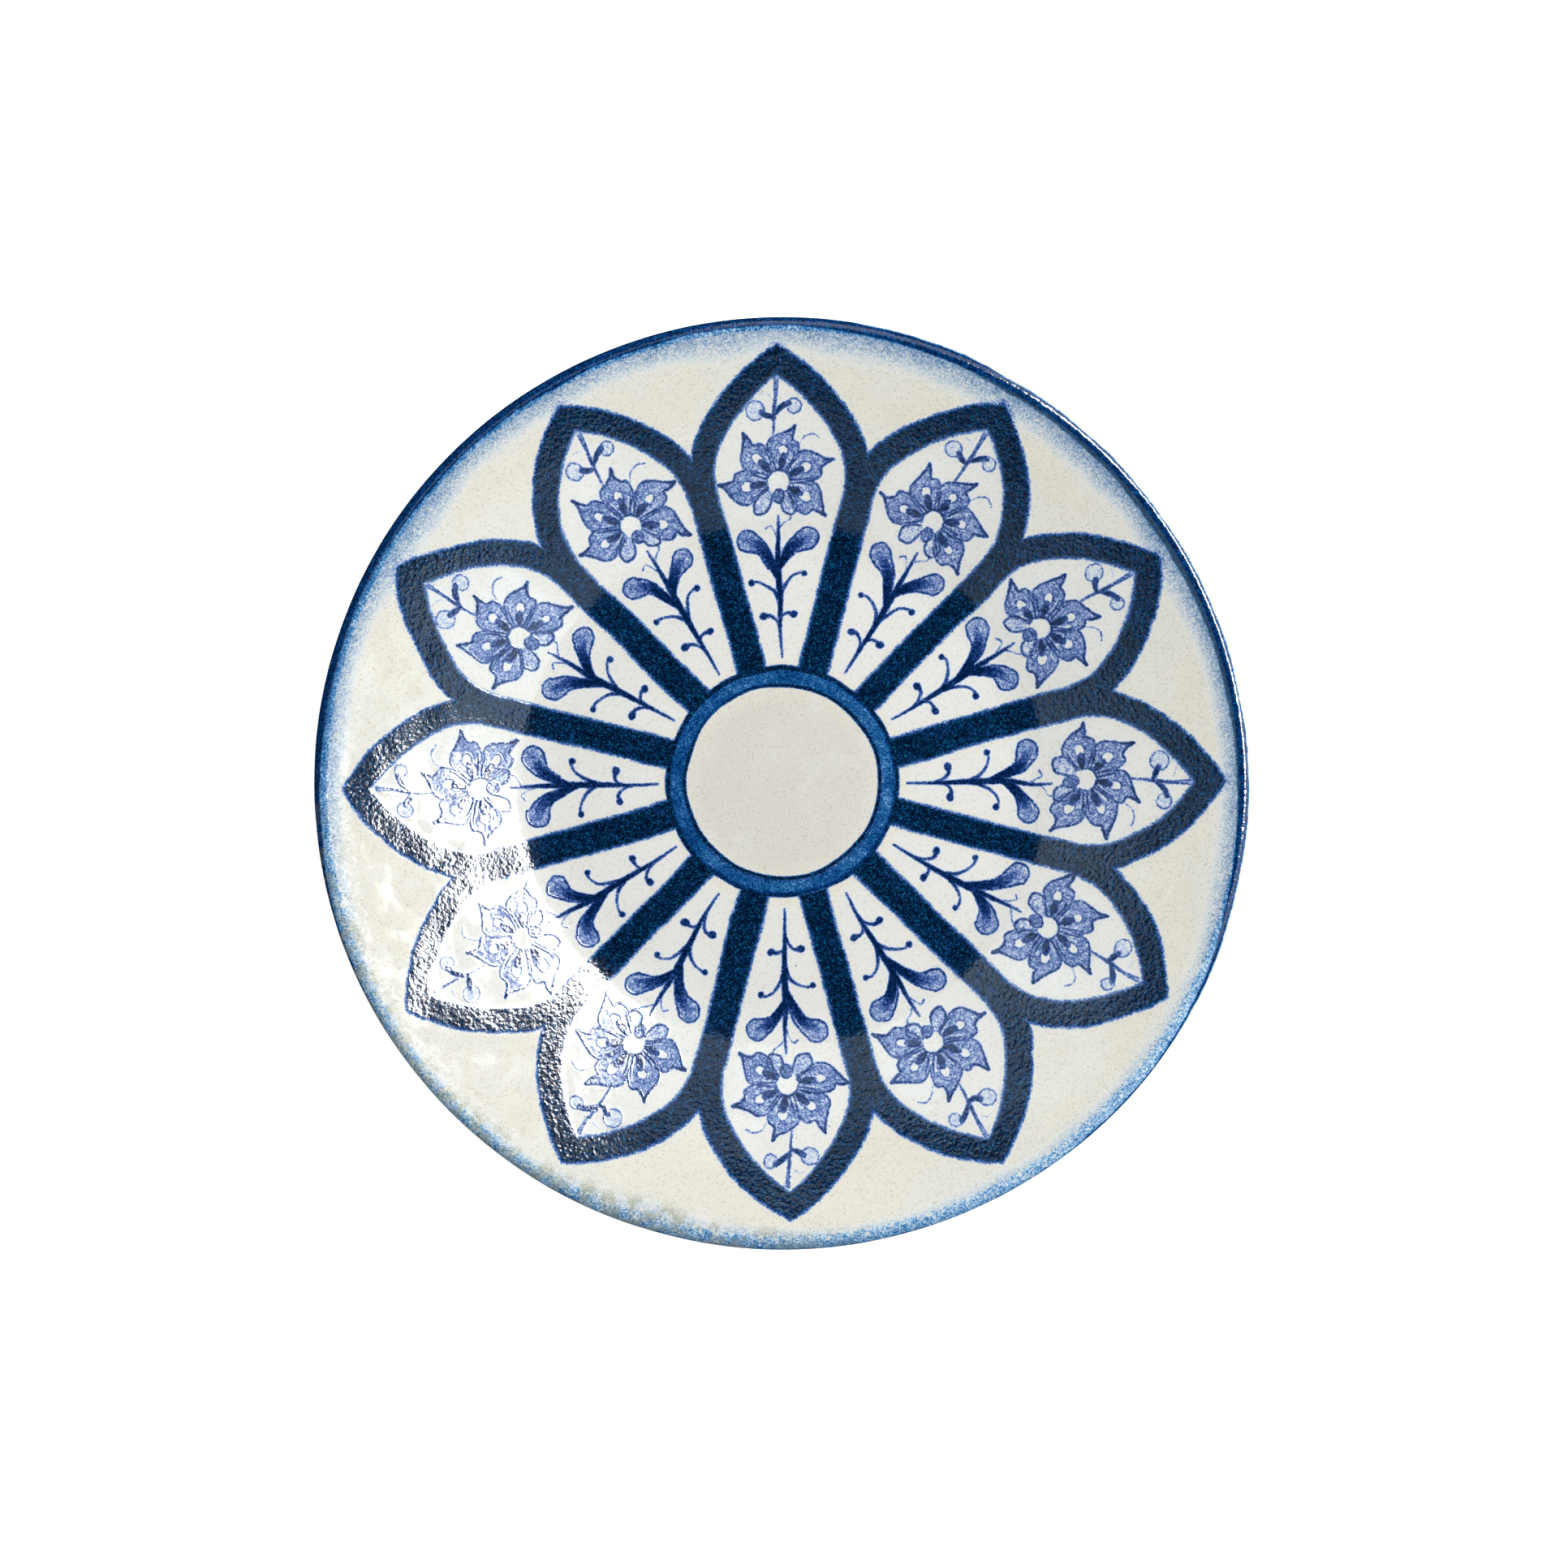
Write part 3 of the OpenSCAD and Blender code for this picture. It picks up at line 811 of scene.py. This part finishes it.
def face_glaze_piece():
    return lens("visual_face_glaze", LIP_EDGE, 0.85, 768,
                lambda az, s: on_plate(az, s, 0.0),
                lambda az, s: on_plate(az, s, -GLAZE_T), 6.0, white=True)


def back_glaze_piece():
    azimuth, s = ring_grid(LIP_EDGE, LINE_END - FOOT_R, 84, 480)
    flat = unrolled(azimuth, LINE_END - s)
    outside, inner = on_plate(azimuth, s, 0.0), on_plate(azimuth, s, -GLAZE_T)
    return shell("visual_back_glaze", outside, inner, flat, wrap=True)


def base_glaze_piece():
    return lens("visual_base_glaze", FOOT_IN, 1.3, 384,
                lambda az, s: on_plate(-az, LINE_END - s, 0.0),
                lambda az, s: on_plate(-az, LINE_END - s, -GLAZE_T), 9.0)


def revolved(name, r, z, count, closed=True):
    """A section in metres turned around the axis. A closed one gives a ring, an open one a sheet."""
    azimuth = np.linspace(0, 2 * math.pi, count, endpoint=False)[None, :]
    r, z = np.asarray(r)[:, None], np.asarray(z)[:, None]
    points = np.stack([r * np.sin(azimuth), r * np.cos(azimuth), z + 0 * azimuth], -1)
    rows = len(r)
    j, i = np.meshgrid(np.arange(rows if closed else rows - 1), np.arange(count), indexing="ij")
    j2, i2 = (j + 1) % rows, (i + 1) % count
    quads = np.stack([j * count + i, j2 * count + i, j2 * count + i2, j * count + i2], -1).reshape(-1, 4)
    return new_mesh(name, points.reshape(-1, 3), quads, np.ones(len(quads), bool))


def foot_ring_piece():
    """The turned foot: upright sides, rounded edges and the fine grooves of the turning tool."""
    bevel = 1.1
    top = BACK_Z + GLAZE_T
    arc = np.linspace(0, math.pi / 2, 6)
    side = np.linspace(top, bevel, 14)
    groove = 0.05 * np.sin(side * 4.2)
    floor_r = np.linspace(FOOT_IN + bevel, FOOT_R - bevel, 9)[1:-1]
    r = np.concatenate([
        FOOT_IN - groove, FOOT_IN + bevel - bevel * np.cos(arc[1:]),
        floor_r, FOOT_R - bevel + bevel * np.sin(arc), (FOOT_R + groove)[::-1][1:],
    ])
    z = np.concatenate([
        side, bevel - bevel * np.sin(arc[1:]),
        0.03 * (np.sin(floor_r * 5) + 1), bevel - bevel * np.cos(arc), side[::-1][1:],
    ])
    return revolved("visual_foot_ring", r * MM, z * MM, 360)


def clay_body_piece():
    """The clay inside the glazes, in two skins that meet in a narrow strip under the lip."""
    t = HALF_T - GLAZE_T - 0.02
    strip = 0.6
    end = lengths(t)[-1]
    upper_end = lengths(t)[3]
    lower_end = end - upper_end - strip
    return lens("visual_clay_body", LIP_EDGE, 3.0, 384,
                lambda az, s: on_plate(az, s * upper_end / LIP_EDGE, 0.0, t),
                lambda az, s: on_plate(az, end - s * lower_end / LIP_EDGE, 0.0, t), 3.0)


# ---------------- materials


def rgb(red, green, blue):
    """A colour as it looks on a screen, from 0 to 255, in the linear values of a shader."""
    c = np.array([red, green, blue]) / 255
    linear = np.where(c <= 0.04045, c / 12.92, ((c + 0.055) / 1.055) ** 2.4)
    return (*(float(v) for v in linear), 1.0)


class Shader:
    """A node material put together from small parts. Sizes in it are in millimetres."""

    def __init__(self, name, ior=1.66):
        self.material = bpy.data.materials.new(name)
        self.material.use_nodes = True
        self.tree = self.material.node_tree
        self.surface = self.tree.nodes["Principled BSDF"]
        self.surface.inputs["IOR"].default_value = ior
        coords = self.add("ShaderNodeTexCoord")
        scaled = self.add("ShaderNodeVectorMath", operation="SCALE")
        scaled.inputs["Scale"].default_value = 1 / MM
        self.feed(scaled.inputs[0], coords.outputs["Object"])
        self.place = scaled.outputs[0]
        self.normal = None

    def add(self, kind, **settings):
        node = self.tree.nodes.new(kind)
        for key, value in settings.items():
            setattr(node, key, value)
        return node

    def feed(self, socket, value):
        if isinstance(value, bpy.types.NodeSocket):
            self.tree.links.new(value, socket)
        else:
            socket.default_value = value

    def math(self, operation, a, b):
        node = self.add("ShaderNodeMath", operation=operation)
        self.feed(node.inputs[0], a)
        self.feed(node.inputs[1], b)
        return node.outputs[0]

    def times(self, a, b):
        return self.math("MULTIPLY", a, b)

    def vector(self, operation, other=(0, 0, 0)):
        """The outputs of a vector sum on the place: a vector, and a plain number."""
        node = self.add("ShaderNodeVectorMath", operation=operation)
        self.feed(node.inputs[0], self.place)
        node.inputs[1].default_value = other
        return node.outputs

    def noise(self, size, detail, shift):
        """Noise around 0.5 whose bumps are about size across."""
        node = self.add("ShaderNodeTexNoise")
        self.feed(node.inputs["Vector"], self.vector("ADD", (shift, 1.7 * shift, 0))[0])
        node.inputs["Scale"].default_value = 1 / size
        node.inputs["Detail"].default_value = detail
        return node.outputs["Fac"]

    def specks(self, spacing, radius, share):
        """Round specks: 1 in their middles and 0 outside, in about this share of the cells."""
        node = self.add("ShaderNodeTexVoronoi")
        self.feed(node.inputs["Vector"], self.place)
        node.inputs["Scale"].default_value = 1 / spacing
        chosen = self.add("ShaderNodeSeparateColor")
        self.feed(chosen.inputs[0], node.outputs["Color"])
        few = self.span(chosen.outputs[0], share, share - 0.02)
        edge = radius / spacing
        return self.times(few, self.span(node.outputs["Distance"], edge, 0.3 * edge))

    def span(self, value, low, high, to_low=0.0, to_high=1.0):
        """A value moved smoothly from the span low to high to another span, and held at its ends."""
        node = self.add("ShaderNodeMapRange", interpolation_type="SMOOTHSTEP")
        self.feed(node.inputs["Value"], value)
        ends = {"From Min": low, "From Max": high, "To Min": to_low, "To Max": to_high}
        for key, end in ends.items():
            node.inputs[key].default_value = end
        return node.outputs["Result"]

    def ramp(self, value, stops):
        node = self.add("ShaderNodeValToRGB")
        self.feed(node.inputs[0], value)
        elements = node.color_ramp.elements
        while len(elements) < len(stops):
            elements.new(1)
        for element, (at, colour) in zip(elements, stops):
            element.position = at
            element.color = rgb(*colour)
        return node.outputs["Color"]

    def mix(self, share, a, b):
        """Colour a where share is 0 and b where it is 1."""
        node = self.add("ShaderNodeMix", data_type="RGBA")
        self.feed(node.inputs["Factor"], share)
        for at, colour in ((6, a), (7, b)):
            given = isinstance(colour, bpy.types.NodeSocket)
            self.feed(node.inputs[at], colour if given else rgb(*colour))
        return node.outputs[2]

    def bump(self, height, depth):
        """Raises the surface by depth where height is 1."""
        node = self.add("ShaderNodeBump")
        node.inputs["Distance"].default_value = depth * MM
        self.feed(node.inputs["Height"], height)
        if self.normal:
            self.feed(node.inputs["Normal"], self.normal)
        self.normal = node.outputs[0]

    def painted(self, key):
        """A value kept on the mesh."""
        return self.add("ShaderNodeAttribute", attribute_name=key).outputs["Fac"]

    def finish(self, colour, roughness):
        self.feed(self.surface.inputs["Base Color"], colour)
        self.feed(self.surface.inputs["Roughness"], roughness)
        if self.normal:
            self.feed(self.surface.inputs["Normal"], self.normal)
        return self.material


CREAM = (190, 188, 179)
CREAM_WARM = (191, 187, 175)
CREAM_COOL = (191, 192, 188)
CENTRE_GREY = (181, 178, 169)
PETAL_WHITE = (191, 191, 187)
GRIT = (162, 155, 138)
IRON = (122, 106, 78)
IRON_DARK = (60, 56, 48)
TEAL = (8, 84, 116)
SOIL = (128, 128, 98)
DROPS = (52, 74, 92)
CLAY_SPECK = (92, 62, 40)
GROG = (226, 208, 180)
# The way from the axis to the dirtiest part of the rim, at the lower left
SOILED_SIDE = (-0.62, -0.78, 0)


def cream(shader):
    """The colour of the bare glaze: cream, greyer inside the ring, whiter in the petals, clouded, and
    sprinkled with iron specks."""
    colour = shader.mix(shader.span(shader.noise(34, 3, 5), 0.35, 0.7), CREAM, CREAM_WARM)
    from_centre = shader.vector("LENGTH")["Value"]
    colour = shader.mix(shader.span(from_centre, RING_OUT, RING_LINE_IN - 4), colour, CENTRE_GREY)
    white = shader.painted("white")
    colour = shader.mix(shader.times(white, 0.85), colour, PETAL_WHITE)
    colour = shader.mix(shader.span(shader.noise(11, 3, 19), 0.5, 0.75, 0, 0.3), colour, CREAM_COOL)
    colour = shader.mix(shader.span(shader.noise(0.8, 2, 3), 0.5, 0.75, 0, 0.45), colour, GRIT)
    outside = shader.span(white, 0.0, 0.9, 0.7, 0.15)
    iron = shader.times(shader.specks(0.95, 0.21, 0.85), outside)
    colour = shader.mix(iron, colour, IRON)
    return shader.mix(shader.times(shader.specks(11, 0.4, 0.35), 0.7), colour, IRON_DARK)


def glaze_bumps(shader):
    """Orange peel and a few pinholes."""
    shader.bump(shader.noise(3.2, 1, 7), 0.02)
    shader.bump(shader.math("SUBTRACT", 1.0, shader.specks(7.5, 0.3, 0.3)), 0.05)


def glaze_material(name):
    shader = Shader(name)
    glaze_bumps(shader)
    return shader.finish(cream(shader), shader.span(shader.noise(6, 3, 23), 0.3, 0.7, 0.04, 0.09))


# Colours of cobalt from the thinnest wash to the thickest paint
DEEP_RAMP = (
    (0.10, (178, 186, 192)), (0.26, (110, 132, 166)), (0.42, (56, 84, 138)), (0.56, (28, 60, 112)),
    (0.68, (8, 43, 80)), (0.80, (2, 26, 51)), (0.90, (0, 15, 37)), (1.0, (0, 7, 23)),
)
PALE_RAMP = (
    (0.10, (184, 194, 198)), (0.26, (116, 150, 180)), (0.44, (50, 100, 146)), (0.58, (20, 70, 118)),
    (0.72, (5, 50, 100)), (0.84, (2, 32, 74)), (1.0, (0, 16, 46)),
)
BRUSH_RAMP = (
    (0.08, (190, 195, 196)), (0.24, (138, 152, 180)), (0.40, (86, 106, 152)), (0.56, (44, 68, 122)),
    (0.72, (14, 40, 88)), (0.86, (3, 26, 62)), (1.0, (0, 12, 40)),
)
WASH_RAMP = (
    (0.08, (190, 194, 192)), (0.24, (156, 167, 178)), (0.42, (104, 130, 158)), (0.58, (52, 90, 132)),
    (0.72, (14, 58, 94)), (0.84, (2, 36, 66)), (1.0, (0, 18, 46)),
)


def cobalt_material(name, ramp, grain=(1.0, 0.5, 0.2), pits=0.045, teal=0.75, spray=0.0, soil=0.0):
    """Cobalt paint: ink carries the colour from the bare glaze to nearly black, and grain breaks it up.
    grain is how strong the fine grain, the coarse grain and the clouds are."""
    shader = Shader(name)
    ink = shader.painted("ink")
    wet = shader.span(ink, 0.03, 0.35)
    grains = 0.0
    sizes = (shader.noise(0.5, 2, 47), shader.noise(1.1, 2, 31), shader.noise(7, 3, 59))
    for strength, size in zip(grain, sizes):
        around_zero = shader.math("SUBTRACT", size, 0.5)
        grains = shader.math("ADD", grains, shader.times(around_zero, strength))
    shown = shader.math("ADD", shader.times(ink, 0.84), shader.times(grains, wet))
    colour = shader.ramp(shown, ramp)
    specks = shader.times(shader.span(shader.noise(0.6, 1, 71), 0.6, 0.72, 0, teal), wet)
    colour = shader.mix(specks, colour, TEAL)
    if soil:
        side = shader.vector("DOT_PRODUCT", SOILED_SIDE)["Value"]
        lower = shader.span(side, 0.55 * PLATE_R, 0.9 * PLATE_R, 0, soil)
        patches = shader.times(lower, shader.span(shader.noise(4, 3, 83), 0.42, 0.6))
        colour = shader.mix(patches, colour, SOIL)
    colour = shader.mix(shader.span(shown, 0.015, 0.2), cream(shader), colour)
    if spray:
        drops = shader.math("ADD", shader.noise(0.4, 1, 61), shader.times(ink, spray))
        colour = shader.mix(shader.span(drops, 0.64, 0.76, 0, 0.45), colour, DROPS)
    glaze_bumps(shader)
    shader.bump(shader.times(shader.noise(1.1, 1, 97), shader.span(ink, 0.2, 0.8)), pits)
    gloss = shader.span(shader.noise(0.95, 2, 31), 0.35, 0.75, 0.07, 0.14)
    return shader.finish(colour, gloss)


def clay_material(name, colour, dark):
    """Fired clay, open and matt, with grog and iron specks."""
    shader = Shader(name, ior=1.45)
    tone = shader.mix(shader.span(shader.noise(9, 4, 13), 0.35, 0.7), colour, dark)
    tone = shader.mix(shader.times(shader.specks(2.2, 0.22, 0.4), 0.7), tone, CLAY_SPECK)
    tone = shader.mix(shader.span(shader.noise(0.6, 3, 17), 0.55, 0.75, 0, 0.4), tone, GROG)
    shader.bump(shader.noise(0.7, 4, 29), 0.05)
    shader.bump(shader.noise(3.5, 2, 37), 0.06)
    return shader.finish(tone, shader.span(shader.noise(2.5, 2, 41), 0.3, 0.7, 0.72, 0.92))


def floor_material():
    shader = Shader("floor", ior=1.4)
    shader.surface.inputs["Emission Color"].default_value = (1, 1, 1, 1)
    shader.surface.inputs["Emission Strength"].default_value = 0.7
    shader.surface.inputs["Specular IOR Level"].default_value = 0.1
    tone = shader.mix(shader.noise(300, 2, 2), (238, 238, 238), (232, 232, 232))
    return shader.finish(tone, 0.9)


# ---------------- putting the plate together

SLOT_MATERIALS = {
    "fired_clay": clay_material("fired_clay", (196, 160, 124), (176, 138, 104)),
    "bare_foot_clay": clay_material("bare_foot_clay", (206, 178, 146), (184, 150, 116)),
    "face_glaze": glaze_material("face_glaze"),
    "back_glaze": glaze_material("back_glaze"),
    "lip_cobalt": cobalt_material("lip_cobalt", PALE_RAMP, pits=0.09, soil=0.5),
    "sprayed_wash": cobalt_material("sprayed_wash", WASH_RAMP, grain=(0.8, 0.4, 0.2), teal=0.3,
                                    spray=0.34, soil=0.6),
    "pale_cobalt": cobalt_material("pale_cobalt", PALE_RAMP, teal=0.2),
    "line_cobalt": cobalt_material("line_cobalt", DEEP_RAMP),
    "deep_cobalt": cobalt_material("deep_cobalt", DEEP_RAMP),
    "brush_cobalt": cobalt_material("brush_cobalt", BRUSH_RAMP, teal=0.2),
    "flower_wash": cobalt_material("flower_wash", BRUSH_RAMP, grain=(1.1, 0.6, 0.3), teal=0.15),
}


def placed(piece, node, slot):
    """Gives a finished piece its material and its place in the frame."""
    piece.data.materials.append(SLOT_MATERIALS[slot])
    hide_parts(node)
    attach(piece, "root")


def build_pottery():
    placed(clay_body_piece(), "clay_body", "fired_clay")
    placed(foot_ring_piece(), "foot_ring", "bare_foot_clay")
    placed(face_glaze_piece(), "face_glaze", "face_glaze")
    placed(back_glaze_piece(), "back_glaze", "back_glaze")
    placed(base_glaze_piece(), "base_glaze", "back_glaze")


def build_rings():
    line_in = (length_at(RING_LINE_IN - 2.4), length_at(RING_LINE_IN + 0.5))
    line_out = (length_at(RING_LINE_OUT - 0.5), length_at(RING_OUT + 1.4))
    placed(ring_paint("ring_inner_line", *line_in, 14, extra=0.002), "ring_inner_line", "line_cobalt")
    placed(ring_paint("centre_ring", line_in[1] - 0.2, line_out[0] + 0.2, 18), "centre_ring", "pale_cobalt")
    placed(ring_paint("ring_outer_line", *line_out, 14, extra=0.002), "ring_outer_line", "line_cobalt")
    placed(wash_paint(), "rim_wash", "sprayed_wash")
    lip_end = LIP_EDGE + 1.2
    placed(ring_paint("lip_band", FACE_END - 0.2, lip_end, 30, count=LIP_POINTS), "lip_band", "lip_cobalt")


def wash_paint():
    """The sprayed wash between the lip and the points of the petals."""
    azimuth, s = ring_grid(length_at(TIP_R - 9), FACE_END, 40, LIP_POINTS)
    r = section(s, HALF_T)[0]
    keep = solid_cells(np.where(band_ink(azimuth, r) < 0.6, rim_ink(azimuth, s), 0), wrap=True)
    return painted("rim_wash", azimuth, s, deep_ink(azimuth, s), wrap=True, keep=keep, extra=-0.004)


def build_petals():
    for k in range(PETALS):
        number = f"{k + 1:02d}"
        placed(outline_paint(k), "petal_outline_" + number, "deep_cobalt")
        sprig = petal_paint("sprig_" + number, k, draw_sprig, (-13.5, 33), (13.5, 109.5), GRID)
        placed(sprig, "sprig_" + number, "brush_cobalt")
        blossom = petal_paint("blossom_" + number, k, draw_blossom, (-17, 70), (17, 98.5), GRID)
        placed(blossom, "blossom_" + number, "flower_wash")


GRID = 0.17
build_pottery()
build_rings()
build_petals()

# ---------------- floor, light and camera

FLOOR_R = 2.2
WALL_R = 0.8
WALL_TOP = 1.3


def build_backdrop():
    """A round studio floor that sweeps up into a low wall all round."""
    turn = np.linspace(0, math.pi / 2, 12)
    r = np.concatenate([[0.0, 0.3, 0.8, 1.5], FLOOR_R + WALL_R * np.sin(turn), [FLOOR_R + WALL_R]])
    z = np.concatenate([np.zeros(4), WALL_R * (1 - np.cos(turn)), [WALL_TOP]])
    floor = revolved("studio_floor", r[::-1], z[::-1], 96, closed=False)
    floor.data.materials.append(floor_material())
    floor.visible_glossy = False


LIGHT_DISTANCE = 1.9


def softbox(name, azimuth, elevation, size, brightness, tint=(1, 1, 1)):
    """A flat light that faces the plate. Azimuth is counted clockwise from +Y, in degrees."""
    light = bpy.data.lights.new(name, "AREA")
    light.shape = "RECTANGLE"
    light.size, light.size_y = size
    light.energy = brightness * size[0] * size[1] * 4
    light.color = tint
    ob = linked(name, light)
    a, e = math.radians(azimuth), math.radians(elevation)
    out, up = LIGHT_DISTANCE * math.cos(e), LIGHT_DISTANCE * math.sin(e)
    ob.location = (out * math.sin(a), out * math.cos(a), up)
    ob.rotation_euler = (math.pi / 2 - e, 0, math.pi - a)
    ob.visible_camera = False


# The window, high on the right. Its mirror image is the glare on the left of the rim
WINDOW_AZIMUTHS = (41, 62.5, 84)
WINDOW_ELEVATION = 54.4
WINDOW_SIZE = (0.38, 0.465)
WINDOW_BRIGHTNESS = 21.5

# The pale wall, from the lower right round by the left to the top, as bright as the rim mirrors it
WALL_FROM = 110
WALL_STEP = 26.6
WALL_ELEVATION = 55.3
WALL_SIZE = (0.58, 0.51)
WALL_BRIGHTNESS = (1.1, 0.55, 0.4, 0.31, 0.29, 0.29, 0.4, 0.58, 0.7, 0.6, 0.6)
WALL_TINT = (0.82, 1.0, 1.14)

# The lit room under the window, too low for the camera to see it mirrored
ROOM_AZIMUTHS = (5, 35, 65, 95, 125)
ROOM_ELEVATION = 33
ROOM_SIZE = (0.8, 1.02)
ROOM_BRIGHTNESS = 1.05


def build_light():
    """A window in three parts, a pale wall round the other sides, and the lit room."""
    for k, azimuth in enumerate(WINDOW_AZIMUTHS):
        softbox(f"window_{k}", azimuth, WINDOW_ELEVATION, WINDOW_SIZE, WINDOW_BRIGHTNESS)
    for k, brightness in enumerate(WALL_BRIGHTNESS):
        azimuth = WALL_FROM + WALL_STEP * k
        softbox(f"wall_{k}", azimuth, WALL_ELEVATION, WALL_SIZE, brightness, WALL_TINT)
    for k, azimuth in enumerate(ROOM_AZIMUTHS):
        softbox(f"room_{k}", azimuth, ROOM_ELEVATION, ROOM_SIZE, ROOM_BRIGHTNESS)
    world = bpy.data.worlds.new("studio")
    world.use_nodes = True
    world.node_tree.nodes["Background"].inputs["Color"].default_value = (0.004, 0.004, 0.005, 1)
    bpy.context.scene.world = world


CAMERA_ABOVE_LIP = 1.5
FRAME_WIDTH = 0.4186
AIM = (0.00028, -0.0002)


def build_camera():
    """Straight above the plate, with +Y upwards in the frame."""
    data = bpy.data.cameras.new("photo")
    data.sensor_width = 36
    data.lens = data.sensor_width * CAMERA_ABOVE_LIP / FRAME_WIDTH
    data.clip_end = 50
    camera = linked("photo", data)
    camera.location = (*AIM, LIP_Z * MM + CAMERA_ABOVE_LIP)
    bpy.context.scene.camera = camera


build_backdrop()
build_light()
build_camera()
bpy.context.scene.view_settings.view_transform = "Standard"
